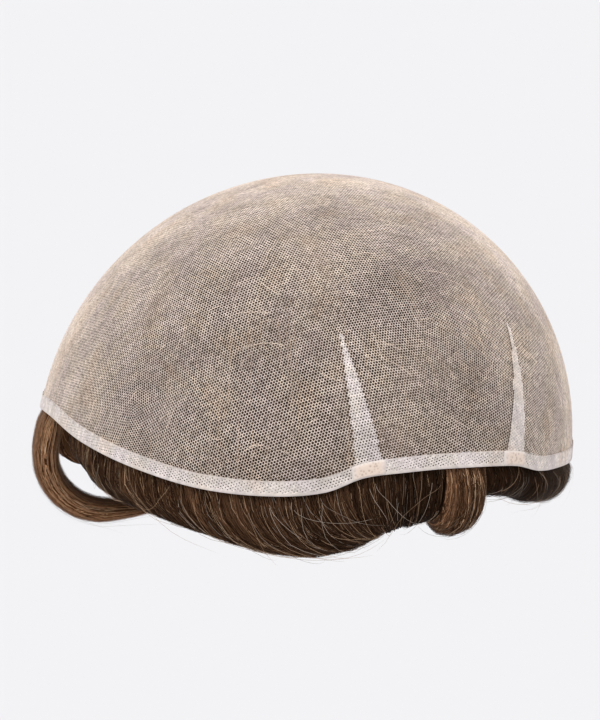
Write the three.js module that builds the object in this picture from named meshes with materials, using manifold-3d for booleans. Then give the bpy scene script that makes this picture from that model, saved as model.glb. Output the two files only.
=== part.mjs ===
// A full-lace toupee turned inside out, as it is shown to present its base.
// The lace dome is outermost. Its rim is a folded hem, two sewn darts take in the back, and a
// skin-toned patch covers the foot of each dart. The hair lies against the inside of the lace,
// and its locks fall below the rim and hook back under it.
// Millimetres and degrees, +Z up, -Y towards the front hairline. The origin is where the crown
// sits on the head: the highest point inside the cap.
import * as THREE from "three";
import { mergeVertices } from "three/addons/utils/BufferGeometryUtils.js";
import Module from "manifold-3d";

const wasm = await Module();
wasm.setup();

// The head form that stretches the lace: an ellipsoid, pitched towards the front
const HALF_WIDTH = 78.5;
const HALF_LENGTH = 101;
const HALF_HEIGHT = 81;
const PITCH = 25;

// Layers, from the outside in
const LACE_WALL = 1.0;
const HAIR_BED = 4.0;
const SEAM_GAP = 0.3;

// Sewn pieces on the outside of the lace
const HEM_WIDTH = 4.2;
const HEM_WALL = 0.8;
const DART_AZIMUTH = 14;
const DART_TOP_AZIMUTH = 18;
const DART_LENGTH = 39;
const DART_FOOT_WIDTH = 8.2;
const DART_TOP_WIDTH = 0.8;
const DART_WALL = 0.8;
const PATCH_WIDTH = 9.5;
const PATCH_WALL = 0.6;

// Hair: a full lock's width and depth, the length that the locks' own lengths are shares of, how
// far a lock's root reaches up into the bed, and how it fills out below the rim and thins again
const LOCK_WIDTH = 25;
const LOCK_DEPTH = 8;
const HAIR_FALL = 32;
const ROOT_RISE = 8;
const ROOT_DEPTH_SHARE = 0.75;
const SWELL_LENGTH = 5;
const TIP_SHARE = 0.45;
const SECTION_SQUARENESS = 0.75;

// How far out from the rim the space is cleared of hair
const CLEARED_REACH = 14;

// Facets
const AZIMUTH_STEPS = 60;
const POLAR_STEPS = 10;
const DART_STEPS = 8;
const PATCH_STEPS = 4;
const LOCK_SIDES = 8;
const ARC_STEPS = 6;

// Height of the rim over the dome's middle, as a share of HALF_HEIGHT. Azimuth is counted from
// the back centre towards the wearer's left. The rim lifts a little at each dart.
const RIM = [
  { azimuth: -180, rise: 0.085 },
  { azimuth: -150, rise: 0.09 },
  { azimuth: -120, rise: 0.105 },
  { azimuth: -95, rise: 0.095 },
  { azimuth: -75, rise: 0.05 },
  { azimuth: -58, rise: 0.01 },
  { azimuth: -44, rise: 0.012 },
  { azimuth: -32, rise: 0.033 },
  { azimuth: -22, rise: 0.055 },
  { azimuth: -14, rise: 0.1 },
  { azimuth: 0, rise: 0.125 },
  { azimuth: 9, rise: 0.12 },
  { azimuth: 15, rise: 0.105 },
  { azimuth: 21, rise: 0.055 },
  { azimuth: 30, rise: 0.033 },
  { azimuth: 44, rise: 0.036 },
  { azimuth: 60, rise: 0.07 },
  { azimuth: 80, rise: 0.115 },
  { azimuth: 100, rise: 0.153 },
  { azimuth: 120, rise: 0.132 },
  { azimuth: 140, rise: 0.1 },
  { azimuth: 160, rise: 0.088 },
];

// The locks below the rim. Each leaves the rim leaning towards the wearer's right and flaring
// outwards, runs straight, hooks through turn towards heading (0 is straight inwards, 90 along
// the rim) and ends in a tail. Angles are in degrees. Width is a share of LOCK_WIDTH, depth of
// LOCK_DEPTH, and straight, radius and tail of HAIR_FALL.
const LOCKS = [
  // azimuth, width, depth, lean, flare, straight, radius, turn, heading, tail
  [126, 0.65, 1, 0, 12, 0.33, 0.56, 108, 4, 0.45],
  [113, 0.65, 1, 0, 12, 0.34, 0.56, 108, 8, 0.45],
  [90, 0.7, 0.7, 34, 0, 0.18, 0.25, 90, 48, 0.3],
  [77, 0.9, 0.8, 44, 2, 0.12, 0.22, 90, 55, 0.3],
  [63, 1, 0.85, 46, 2, 0.1, 0.22, 90, 55, 0.3],
  [49, 1, 0.85, 44, 2, 0.14, 0.22, 95, 50, 0.3],
  [37, 1, 0.9, 36, 2, 0.25, 0.25, 100, 42, 0.25],
  [25, 1, 0.95, 24, 2, 0.25, 0.25, 110, 32, 0.2],
  [13, 0.95, 0.95, 8, 2, 0.28, 0.22, 120, 16, 0.15],
  [5, 0.8, 0.85, 0, 0, 0.26, 0.22, 120, 0, 0.15],
  [-4, 0.62, 1.25, -4, 4, 0.3, 0.24, 160, -4, 0.06],
  [-14, 0.8, 0.8, 0, 2, 0.09, 0.15, 115, 0, 0.12],
  [-28, 1, 0.85, -2, 2, 0.11, 0.16, 115, 0, 0.12],
  [-43, 1, 0.85, -3, 3, 0.13, 0.17, 115, 0, 0.12],
  [-58, 1, 0.85, -4, 3, 0.13, 0.18, 115, 0, 0.14],
  [-74, 1.05, 0.9, -12, 3, 0.18, 0.22, 115, -12, 0.18],
  [-90, 1.05, 0.95, -22, 4, 0.25, 0.3, 112, -22, 0.22],
  [-106, 1.05, 1, -18, 6, 0.3, 0.36, 110, -18, 0.25],
  [-123, 1.1, 1, -8, 6, 0.33, 0.4, 108, -8, 0.25],
  [-141, 1.15, 1, 4, 5, 0.3, 0.36, 110, 4, 0.22],
  [-158, 1.15, 0.95, 10, 4, 0.28, 0.33, 112, 10, 0.2],
  [-175, 1.15, 0.95, 8, 4, 0.27, 0.32, 112, 8, 0.2],
  [168, 1.15, 0.95, 4, 4, 0.26, 0.32, 112, 4, 0.2],
  [153, 1.1, 0.95, 0, 5, 0.24, 0.32, 110, 0, 0.2],
  [139, 0.9, 0.95, -4, 8, 0.26, 0.4, 108, -4, 0.25],
].map((row) => {
  const [azimuth, width, depth, lean, flare, straight, radius, turn, heading, tail] = row;
  return { azimuth, width, depth, lean, flare, straight, radius, turn, heading, tail };
});

const toRadians = THREE.MathUtils.degToRad;
const UP = new THREE.Vector3(0, 0, 1);

// The ellipsoid's own axes in the part's frame
const longAxis = new THREE.Vector3(0, Math.cos(toRadians(PITCH)), Math.sin(toRadians(PITCH)));
const shortAxis = new THREE.Vector3(0, -longAxis.z, longAxis.y);

// The ellipsoid's highest point, from its middle, and from that its middle from the crown seat
const crownZ = Math.hypot(HALF_LENGTH * longAxis.z, HALF_HEIGHT * longAxis.y);
const crownY = ((HALF_LENGTH ** 2 - HALF_HEIGHT ** 2) * longAxis.y * longAxis.z) / crownZ;
const BED_OUTSIDE = -(LACE_WALL + SEAM_GAP);
const BED_INSIDE = BED_OUTSIDE - HAIR_BED;
const BED_MIDDLE = (BED_OUTSIDE + BED_INSIDE) / 2;
const middle = new THREE.Vector3(0, -crownY, -crownZ - BED_INSIDE);

// A smooth periodic curve through one column of RIM
function rimRise(azimuth) {
  const count = RIM.length;
  const turned = THREE.MathUtils.euclideanModulo(azimuth - RIM[0].azimuth, 360) + RIM[0].azimuth;
  let index = RIM.findIndex((row) => row.azimuth > turned) - 1;
  if (index < 0) index = count - 1;
  const row = (k) => {
    const wrapped = THREE.MathUtils.euclideanModulo(index + k, count);
    const turns = Math.floor((index + k) / count);
    return { azimuth: RIM[wrapped].azimuth + 360 * turns, rise: RIM[wrapped].rise };
  };
  const [a, b, c, d] = [-1, 0, 1, 2].map(row);
  const span = c.azimuth - b.azimuth;
  const slope = (from, to) => ((to.rise - from.rise) / (to.azimuth - from.azimuth)) * span;
  const t = (turned - b.azimuth) / span;
  const leave = slope(a, c);
  const arrive = slope(b, d);
  return (
    (2 * t ** 3 - 3 * t ** 2 + 1) * b.rise +
    (t ** 3 - 2 * t ** 2 + t) * leave +
    (3 * t ** 2 - 2 * t ** 3) * c.rise +
    (t ** 3 - t ** 2) * arrive
  );
}

// The polar angle, down from the vertical, at which the dome ends at this azimuth
function rimPolar(azimuth) {
  const z = rimRise(azimuth) * HALF_HEIGHT;
  const side = Math.sin(toRadians(azimuth)) / HALF_WIDTH;
  const along = Math.cos(toRadians(azimuth));
  const long = { slope: (along * longAxis.y) / HALF_LENGTH, start: (z * longAxis.z) / HALF_LENGTH };
  const short = { slope: (along * shortAxis.y) / HALF_HEIGHT, start: (z * shortAxis.z) / HALF_HEIGHT };
  const square = side ** 2 + long.slope ** 2 + short.slope ** 2;
  const linear = long.slope * long.start + short.slope * short.start;
  const constant = long.start ** 2 + short.start ** 2 - 1;
  const radius = (-linear + Math.sqrt(linear ** 2 - square * constant)) / square;
  return THREE.MathUtils.radToDeg(Math.atan2(radius, z));
}

// A point of the lace's outer face, moved out along its normal by offset
function domePoint(azimuth, polar, offset) {
  const direction = new THREE.Vector3(
    Math.sin(toRadians(polar)) * Math.sin(toRadians(azimuth)),
    Math.sin(toRadians(polar)) * Math.cos(toRadians(azimuth)),
    Math.cos(toRadians(polar)),
  );
  const long = direction.dot(longAxis) / HALF_LENGTH;
  const short = direction.dot(shortAxis) / HALF_HEIGHT;
  const side = direction.x / HALF_WIDTH;
  const radius = 1 / Math.hypot(side, long, short);
  const normal = new THREE.Vector3(side / HALF_WIDTH, 0, 0)
    .addScaledVector(longAxis, long / HALF_LENGTH)
    .addScaledVector(shortAxis, short / HALF_HEIGHT)
    .normalize();
  return direction.multiplyScalar(radius).add(middle).addScaledVector(normal, offset);
}

// Degrees of polar angle that span a length down the dome, and of azimuth across it
function polarSpan(length, azimuth, polar) {
  const perDegree = domePoint(azimuth, polar, 0).distanceTo(domePoint(azimuth, polar - 1, 0));
  return length / perDegree;
}
function azimuthSpan(length, azimuth, polar) {
  const perDegree = domePoint(azimuth, polar, 0).distanceTo(domePoint(azimuth + 1, polar, 0));
  return length / perDegree;
}

function geometryFrom(points, triangles) {
  const geometry = new THREE.BufferGeometry();
  geometry.setAttribute("position", new THREE.Float32BufferAttribute(points.flatMap((p) => p.toArray()), 3));
  geometry.setIndex(triangles.flat());
  return geometry;
}

// Turns every face round if the closed mesh faces inwards
function facingOut(points, triangles) {
  const volume = triangles.reduce(
    (sum, [a, b, c]) => sum + points[a].dot(new THREE.Vector3().crossVectors(points[b], points[c])),
    0,
  );
  return geometryFrom(points, volume > 0 ? triangles : triangles.map(([a, b, c]) => [a, c, b]));
}

// A closed slab between two faces of one grid. place(row, column, face) gives its points, face 0
// outside and 1 inside. A ring closes on itself along its columns, and a pole makes row 0 a point.
function slab(rows, columns, { ring, pole }, place) {
  const points = [];
  const triangles = [];
  const index = [[], []];
  for (const face of [0, 1]) {
    for (let row = 0; row <= rows; row += 1) {
      index[face][row] = [];
      for (let column = 0; column <= columns; column += 1) {
        const joined = (ring && column === columns) || (pole && row === 0 && column > 0);
        if (joined) index[face][row][column] = index[face][row][0];
        else index[face][row][column] = points.push(place(row, column, face)) - 1;
      }
    }
  }
  const quad = (a, b, c, d) => {
    if (a !== b) triangles.push([a, b, c]);
    triangles.push([a, c, d]);
  };
  const [outside, inside] = index;
  for (let row = 0; row < rows; row += 1) {
    for (let column = 0; column < columns; column += 1) {
      const next = column + 1;
      quad(outside[row][column], outside[row][next], outside[row + 1][next], outside[row + 1][column]);
      if (pole && row === 0) {
        triangles.push([inside[0][0], inside[1][column], inside[1][next]]);
      } else {
        quad(inside[row][next], inside[row][column], inside[row + 1][column], inside[row + 1][next]);
      }
    }
  }
  for (let column = 0; column < columns; column += 1) {
    const next = column + 1;
    quad(outside[rows][column], outside[rows][next], inside[rows][next], inside[rows][column]);
    if (!pole) quad(outside[0][next], outside[0][column], inside[0][column], inside[0][next]);
  }
  if (!ring) {
    for (let row = 0; row < rows; row += 1) {
      quad(outside[row][0], outside[row + 1][0], inside[row + 1][0], inside[row][0]);
      quad(outside[row + 1][columns], outside[row][columns], inside[row][columns], inside[row + 1][columns]);
    }
  }
  return facingOut(points, triangles);
}

// A dome-shaped layer between two offsets, ending extra millimetres below the rim
function domeLayer(outside, inside, extra) {
  return slab(POLAR_STEPS, AZIMUTH_STEPS, { ring: true, pole: true }, (row, column, face) => {
    const azimuth = (column / AZIMUTH_STEPS) * 360;
    const end = rimPolar(azimuth);
    const polar = ((end + polarSpan(extra, azimuth, end)) * row) / POLAR_STEPS;
    return domePoint(azimuth, polar, face ? inside : outside);
  });
}

// The folded strip round the rim, on the outside of the lace
function hem() {
  const inside = SEAM_GAP;
  return slab(1, AZIMUTH_STEPS, { ring: true, pole: false }, (row, column, face) => {
    const azimuth = (column / AZIMUTH_STEPS) * 360;
    const end = rimPolar(azimuth);
    const polar = end - polarSpan(HEM_WIDTH * (1 - row), azimuth, end);
    return domePoint(azimuth, polar, face ? inside : inside + HEM_WALL);
  });
}

// A long wedge of folded lace, from just above the hem to a narrow top. side is 1 on the wearer's
// left and -1 on the right.
function dart(side) {
  const inside = SEAM_GAP;
  const footPolar = rimPolar(DART_AZIMUTH);
  return slab(DART_STEPS, 2, { ring: false, pole: false }, (row, column, face) => {
    const height = 1 - row / DART_STEPS;
    const centre = side * THREE.MathUtils.lerp(DART_AZIMUTH, DART_TOP_AZIMUTH, height);
    const up = HEM_WIDTH + SEAM_GAP + DART_LENGTH * height;
    const polar = rimPolar(centre) - polarSpan(up, centre, footPolar - polarSpan(up / 2, centre, footPolar));
    const width = THREE.MathUtils.lerp(DART_FOOT_WIDTH, DART_TOP_WIDTH, height);
    const azimuth = centre + azimuthSpan(width * (column / 2 - 0.5), centre, polar);
    const lowest = rimPolar(azimuth) - polarSpan(HEM_WIDTH + SEAM_GAP, azimuth, rimPolar(azimuth));
    return domePoint(azimuth, Math.min(polar, lowest), face ? inside : inside + DART_WALL);
  });
}

// The skin-toned piece over the hem at the foot of a dart
function patch(side) {
  const inside = SEAM_GAP + HEM_WALL + SEAM_GAP;
  return slab(1, PATCH_STEPS, { ring: false, pole: false }, (row, column, face) => {
    const centre = side * DART_AZIMUTH;
    const across = PATCH_WIDTH * (column / PATCH_STEPS - 0.5);
    const azimuth = centre + azimuthSpan(across, centre, rimPolar(centre));
    const end = rimPolar(azimuth);
    const polar = end - polarSpan(HEM_WIDTH * (1 - row), azimuth, end);
    return domePoint(azimuth, polar, face ? inside : inside + PATCH_WALL);
  });
}

// The stations of a lock's centre line: where it is, where it points, and how far it has come
// below the rim
function lockStations(lock) {
  const { azimuth } = lock;
  const rim = rimPolar(azimuth);
  const start = domePoint(azimuth, rim, BED_MIDDLE);
  const out = start.clone().sub(domePoint(azimuth, rim, BED_INSIDE * 2)).setZ(0).normalize();
  const sideways = new THREE.Vector3().crossVectors(UP, out);
  const [lean, flare, heading] = [lock.lean, lock.flare, lock.heading].map(toRadians);
  const down = UP.clone().multiplyScalar(-Math.cos(lean)).addScaledVector(sideways, Math.sin(lean));
  down.multiplyScalar(Math.cos(flare)).addScaledVector(out, Math.sin(flare));
  const goal = sideways.clone().multiplyScalar(Math.sin(heading)).addScaledVector(out, -Math.cos(heading));
  const across = goal.clone().addScaledVector(down, -goal.dot(down)).normalize();

  const rootAzimuth = azimuth + azimuthSpan(ROOT_RISE * Math.sin(lean), azimuth, rim);
  const rootPolar = rimPolar(rootAzimuth) - polarSpan(ROOT_RISE * Math.cos(lean), azimuth, rim);
  const stations = [{ at: domePoint(rootAzimuth, rootPolar, BED_MIDDLE), along: down, below: -ROOT_RISE }];
  stations.push({ at: start, along: down, below: 0 });
  const straight = lock.straight * HAIR_FALL;
  const radius = lock.radius * HAIR_FALL;
  const knee = start.clone().addScaledVector(down, straight);
  for (let step = 0; step <= ARC_STEPS; step += 1) {
    const angle = toRadians((lock.turn * step) / ARC_STEPS);
    const at = knee
      .clone()
      .addScaledVector(down, radius * Math.sin(angle))
      .addScaledVector(across, radius * (1 - Math.cos(angle)));
    const along = down.clone().multiplyScalar(Math.cos(angle)).addScaledVector(across, Math.sin(angle));
    stations.push({ at, along, below: straight + radius * angle });
  }
  const last = stations[stations.length - 1];
  const tail = lock.tail * HAIR_FALL;
  const end = last.at.clone().addScaledVector(last.along, tail);
  stations.push({ at: end, along: last.along, below: last.below + tail });
  return { stations, out };
}

// Pushes an oval's sine or cosine out towards a rounded box
function squared(share) {
  return Math.sign(share) * Math.abs(share) ** SECTION_SQUARENESS;
}

// One lock: an oval swept along its stations, thin where it lies in the bed, full below the rim
// and tapered at its tip. Its section bends with the rim.
function lockSolid(lock) {
  const { stations, out } = lockStations(lock);
  const whole = stations[stations.length - 1].below;
  const points = [];
  const triangles = [];
  let face = out;
  for (const { at, along, below } of stations) {
    face = face.clone().addScaledVector(along, -face.dot(along)).normalize();
    const wide = new THREE.Vector3().crossVectors(along, face);
    const swell = THREE.MathUtils.smoothstep(below, 0, SWELL_LENGTH);
    const taper = THREE.MathUtils.lerp(1, TIP_SHARE, Math.max(0, below / whole) ** 2);
    const depth = THREE.MathUtils.lerp(HAIR_BED * ROOT_DEPTH_SHARE, lock.depth * LOCK_DEPTH, swell) * taper;
    for (let side = 0; side < LOCK_SIDES; side += 1) {
      const angle = (side / LOCK_SIDES) * 2 * Math.PI;
      const w = ((lock.width * LOCK_WIDTH) / 2) * taper * squared(Math.cos(angle));
      const bend = w ** 2 / (HALF_WIDTH + HALF_LENGTH);
      const d = (depth / 2) * squared(Math.sin(angle)) - bend;
      points.push(at.clone().addScaledVector(wide, w).addScaledVector(face, d));
    }
  }
  const ringStart = (k) => k * LOCK_SIDES;
  for (let k = 0; k + 1 < stations.length; k += 1) {
    for (let side = 0; side < LOCK_SIDES; side += 1) {
      const next = (side + 1) % LOCK_SIDES;
      const [a, b] = [ringStart(k) + side, ringStart(k) + next];
      const [c, d] = [ringStart(k + 1) + next, ringStart(k + 1) + side];
      triangles.push([a, b, c], [a, c, d]);
    }
  }
  const tip = ringStart(stations.length - 1);
  for (let side = 1; side + 1 < LOCK_SIDES; side += 1) {
    triangles.push([0, side + 1, side], [tip, tip + side, tip + side + 1]);
  }
  return facingOut(points, triangles);
}

function toSolid(geometry) {
  const bare = new THREE.BufferGeometry().setAttribute("position", geometry.getAttribute("position"));
  const merged = mergeVertices(bare.setIndex(geometry.getIndex()), 1e-4);
  return new wasm.Manifold(
    new wasm.Mesh({
      numProp: 3,
      vertProperties: merged.getAttribute("position").array,
      triVerts: new Uint32Array(merged.getIndex().array),
    }),
  );
}

function fromSolid(solid) {
  const mesh = solid.getMesh();
  const geometry = new THREE.BufferGeometry();
  geometry.setAttribute("position", new THREE.BufferAttribute(mesh.vertProperties, 3));
  geometry.setIndex(new THREE.BufferAttribute(mesh.triVerts, 1));
  return geometry;
}

// The hair: its locks fused to the bed that lies inside the lace, kept clear of the lace and trim
function hair() {
  const trimOutside = SEAM_GAP + HEM_WALL + SEAM_GAP + PATCH_WALL;
  const keepOut = toSolid(domeLayer(trimOutside + CLEARED_REACH, BED_OUTSIDE, SEAM_GAP));
  const bed = toSolid(domeLayer(BED_OUTSIDE, BED_INSIDE, 0));
  const joined = LOCKS.reduce((sum, lock) => sum.add(toSolid(lockSolid(lock)).subtract(keepOut)), bed);
  return fromSolid(joined);
}

const lace = new THREE.MeshStandardMaterial({ color: 0xb5a394, roughness: 0.85, metalness: 0 });
const foldedLace = new THREE.MeshStandardMaterial({ color: 0xdcd0c8, roughness: 0.8, metalness: 0 });
const skinTone = new THREE.MeshStandardMaterial({ color: 0xe0c3ae, roughness: 0.6, metalness: 0 });
const brownHair = new THREE.MeshStandardMaterial({ color: 0x4b3324, roughness: 0.5, metalness: 0 });

function piece(name, geometry, material) {
  const mesh = new THREE.Mesh(geometry, material);
  mesh.name = name;
  return mesh;
}

const toupee = new THREE.Group();
toupee.add(piece("lace_cap", domeLayer(0, -LACE_WALL, 0), lace));
toupee.add(piece("hem_band", hem(), foldedLace));
for (const [name, side] of [["left", 1], ["right", -1]]) {
  toupee.add(piece(`dart_${name}`, dart(side), foldedLace));
  toupee.add(piece(`dart_patch_${name}`, patch(side), skinTone));
}
toupee.add(piece("hair", hair(), brownHair));

export default toupee;
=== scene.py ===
import itertools
import math

import bpy
import numpy as np
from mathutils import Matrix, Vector


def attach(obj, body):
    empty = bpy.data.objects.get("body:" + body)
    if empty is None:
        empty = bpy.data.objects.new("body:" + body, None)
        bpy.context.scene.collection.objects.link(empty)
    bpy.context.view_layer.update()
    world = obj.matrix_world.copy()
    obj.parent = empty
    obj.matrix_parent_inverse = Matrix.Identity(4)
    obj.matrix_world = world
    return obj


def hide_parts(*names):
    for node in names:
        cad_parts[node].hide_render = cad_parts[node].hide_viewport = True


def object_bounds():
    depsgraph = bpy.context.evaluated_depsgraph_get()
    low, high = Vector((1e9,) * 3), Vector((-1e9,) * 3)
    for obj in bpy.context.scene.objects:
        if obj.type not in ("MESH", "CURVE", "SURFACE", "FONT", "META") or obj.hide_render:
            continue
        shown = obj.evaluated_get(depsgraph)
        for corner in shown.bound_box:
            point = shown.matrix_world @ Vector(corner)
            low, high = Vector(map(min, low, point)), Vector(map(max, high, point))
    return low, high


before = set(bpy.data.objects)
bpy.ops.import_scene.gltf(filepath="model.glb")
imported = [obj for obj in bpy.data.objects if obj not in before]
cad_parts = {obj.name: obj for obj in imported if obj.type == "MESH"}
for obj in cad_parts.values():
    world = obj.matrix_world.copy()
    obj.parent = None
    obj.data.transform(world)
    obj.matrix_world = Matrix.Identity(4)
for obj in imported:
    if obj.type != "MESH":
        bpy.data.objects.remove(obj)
CAD_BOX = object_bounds()
rng = np.random.default_rng(7)

# The head form that stretches the lace, its layers and its sewn pieces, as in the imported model
HALF_WIDTH = 0.0785
HALF_LENGTH = 0.101
HALF_HEIGHT = 0.081
PITCH = 25
LACE_WALL = 0.001
HAIR_BED = 0.004
SEAM_GAP = 0.0003
HEM_WIDTH = 0.0042
DART_AZIMUTH = 14
DART_TOP_AZIMUTH = 18
DART_LENGTH = 0.039
DART_FOOT_WIDTH = 0.0082
DART_TOP_WIDTH = 0.0008
PATCH_WIDTH = 0.0095
PATCH_WALL = 0.0006

# Hair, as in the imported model
LOCK_WIDTH = 0.025
LOCK_DEPTH = 0.008
HAIR_FALL = 0.032
ROOT_RISE = 0.008
ROOT_DEPTH_SHARE = 0.75
SWELL_LENGTH = 0.005
TIP_SHARE = 0.45

# Azimuth from the back centre towards the wearer's left, and the rim's height over the dome's
# middle as a share of HALF_HEIGHT
RIM = [
    (-180, 0.085), (-150, 0.09), (-120, 0.105), (-95, 0.095), (-75, 0.05), (-58, 0.01),
    (-44, 0.012), (-32, 0.033), (-22, 0.055), (-14, 0.1), (0, 0.125), (9, 0.12), (15, 0.105),
    (21, 0.055), (30, 0.033), (44, 0.036), (60, 0.07), (80, 0.115), (100, 0.153), (120, 0.132),
    (140, 0.1), (160, 0.088),
]

# The locks: azimuth, width, depth, lean, flare, straight, radius, turn, heading, tail. Angles are
# in degrees, width is a share of LOCK_WIDTH, depth of LOCK_DEPTH, the lengths of HAIR_FALL. The
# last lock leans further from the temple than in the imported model, to open the gap beside it.
LOCKS = [
    (126, 0.65, 1, 0, 12, 0.33, 0.56, 108, 4, 0.45),
    (113, 0.65, 1, 0, 12, 0.34, 0.56, 108, 8, 0.45),
    (90, 0.7, 0.7, 34, 0, 0.18, 0.25, 90, 48, 0.3),
    (77, 0.9, 0.8, 44, 2, 0.12, 0.22, 90, 55, 0.3),
    (63, 1, 0.85, 46, 2, 0.1, 0.22, 90, 55, 0.3),
    (49, 1, 0.85, 44, 2, 0.14, 0.22, 95, 50, 0.3),
    (37, 1, 0.9, 36, 2, 0.25, 0.25, 100, 42, 0.25),
    (25, 1, 0.95, 24, 2, 0.25, 0.25, 110, 32, 0.2),
    (13, 0.95, 0.95, 8, 2, 0.28, 0.22, 120, 16, 0.15),
    (5, 0.8, 0.85, 0, 0, 0.26, 0.22, 120, 0, 0.15),
    (-4, 0.62, 1.25, -4, 4, 0.3, 0.24, 160, -4, 0.06),
    (-14, 0.8, 0.8, 0, 2, 0.09, 0.15, 115, 0, 0.12),
    (-28, 1, 0.85, -2, 2, 0.11, 0.16, 115, 0, 0.12),
    (-43, 1, 0.85, -3, 3, 0.13, 0.17, 115, 0, 0.12),
    (-58, 1, 0.85, -4, 3, 0.13, 0.18, 115, 0, 0.14),
    (-74, 1.05, 0.9, -12, 3, 0.18, 0.22, 115, -12, 0.18),
    (-90, 1.05, 0.95, -22, 4, 0.25, 0.3, 112, -22, 0.22),
    (-106, 1.05, 1, -18, 6, 0.3, 0.36, 110, -18, 0.25),
    (-123, 1.1, 1, -8, 6, 0.33, 0.4, 108, -8, 0.25),
    (-141, 1.15, 1, 4, 5, 0.3, 0.36, 110, 4, 0.22),
    (-158, 1.15, 0.95, 10, 4, 0.28, 0.33, 112, 10, 0.2),
    (-175, 1.15, 0.95, 8, 4, 0.27, 0.32, 112, 8, 0.2),
    (168, 1.15, 0.95, 4, 4, 0.26, 0.32, 112, 4, 0.2),
    (153, 1.1, 0.95, 0, 5, 0.24, 0.32, 110, 0, 0.2),
    (139, 0.9, 0.95, -32, 8, 0.26, 0.4, 108, -32, 0.25),
]

# The locks in groups that flow as one: first lock, one past the last, how far past the first and
# the last lock's middle it reaches in lock spacings, how many spacings its strands drift towards
# its last lock and the lock where that drift has died away, how far its tips draw together, the
# painted light and shade on its hair at its first and its last lock, and how densely it is drawn.
# The painted light and shade multiplies the hair's colour: the temple lock is painted brighter as
# if lit, the curtain at the round group's start darker as if in shade, the sweep darker to its end.
LOCK_GROUPS = [
    ("temple", 0, 2, 0.5, 0.4, 0.0, 2, 0.5, 2.15, 2.8, 2.6),
    ("sweep", 2, 10, 0.1, 0.5, 1.8, 7, 0.0, 0.85, 0.3, 1.6),
    ("curl", 10, 11, 0.5, 0.5, 0.0, 1, 0.25, 1.25, 1.25, 2.0),
    ("round", 11, 25, 0.5, 0.15, 0.0, 1, 0.0, 0.24, 0.9, 0.9),
]

# The net: mean distance between holes, a hole's share of its cell and how much it varies, in the
# lace and in the net that is sewn on it, the waves of that net's holes over the dome, the
# thickness of a thread, the range of painted glints at the threads' middles, and the slope of the
# rows in the camera's view
MESH_PITCH = 0.0009
HOLE_SHARE = 0.73
HOLE_SPREAD = 0.08
HEM_HOLE_SHARE = 0.33
DART_HOLE_SHARE = 0.44
SEWN_HOLE_SPREAD = 0.07
SEWN_WAVES = (31, 23, 17)
THREAD = 0.00017
GLINT = (0.78, 1.22)
ROW_SLOPE = 18

# How far the sewn net stands over the lace, the share of the hem's width at which the lace under
# it starts, and how many pieces the lace is cut into for their size
HEM_LIFT = 0.00042
LACE_START = 0.4
LACE_PIECES = 6

# How much the streaks on the thread darken it, and the shades of the hem's edges and of the patch
# where it thins out
STREAK_CONTRAST = 0.22
EDGE_TONE = 0.86
PATCH_EDGE = (0.64, 0.585, 0.55)

# The grid that the locks flow on, the reach of their dark cores as shares of their depth and
# length, and how far a leaning lock is moved with its tips, in half widths
COLUMNS_PER_LOCK = 10
LOCK_STATIONS = 26
LOCK_CORE_SHARE = 0.84
CORE_LENGTH_SHARE = 0.95
LEAN_REACH = 1.1

# Strands on the locks: the points along one, its width, how firmly its clump draws it in, its
# drift and its wave in columns, its start in stations, its end as a share of the lock, the share
# of strands on the outside, and their depth in the lock and how much it changes
STRANDS = 9000
STRAND_POINTS = 9
STRAND_WIDTH = 0.00015
CLUMP_GRIP = 0.75
STRAND_DRIFT = 1.1
STRAND_WAVE = 0.35
STRAND_START = (0.4, 2.2)
STRAND_END = (0.7, 1.0)
OUTSIDE_SHARE = 0.7
STRAND_DEPTH = (0.82, 1.05)
DEPTH_DRIFT = 0.09

# Loose hairs that cross the locks: the points along one, its share of a strand's width, its start
# and length in stations, its depth in the lock, how far it leaves it and sways, and how far it
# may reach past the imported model
STRAYS = 240
STRAY_POINTS = 14
STRAY_WIDTH = 0.55
STRAY_START = (2, 14)
STRAY_LENGTH = (8, 24)
STRAY_DEPTH = (1.03, 1.2)
STRAY_LEAVE = 0.0025
STRAY_DROP = 0.0008
STRAY_SWAY = 0.001
STRAY_REACH = 0.006

# Wisps on the lace: their share of a strand's width, their least height over the rim, their
# length, bend and stray from the hair's flow in radians, and how they rise out of the lace
WISPS = 340
WISP_WIDTH = 0.75
WISP_HEIGHT = 0.012
WISP_LENGTH = (0.03, 0.13)
WISP_BEND = 0.025
WISP_TURN = 0.35
WISP_RISE = 0.0004
WISP_SINK = 0.0001

# The camera, fitted to the photograph, the whorl's place in its view, and the stage
VIEW_AZIMUTH = 154.4
VIEW_ELEVATION = 9.5
VIEW_DISTANCE = 1.0
VIEW_TARGET_RISE = 0.0262
FOCAL_PIXELS = 3247
IMAGE_HEIGHT = 720
WHORL_RIGHT = 0.11
WHORL_DOWN = 0.45
FLOOR_DROP = 1.5
FLOOR_REACH = 60
FLOOR_COLOUR = (0.655, 0.657, 0.669)
WORLD_COLOUR = (0.896, 0.896, 0.913)

# Shades of hair, and how much darker the bed is on its inside
HAIR_CORE = (0.07, 0.034, 0.016)
HAIR_DARK = (0.024, 0.011, 0.005)
HAIR_MID = (0.215, 0.117, 0.067)
HAIR_FAIR = (0.38, 0.26, 0.17)
HAIR_GREY = (0.36, 0.31, 0.27)
HAIR_PALE = (0.78, 0.68, 0.6)
BED_INSIDE_TONE = (0.5, 0.38, 0.3)

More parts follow.
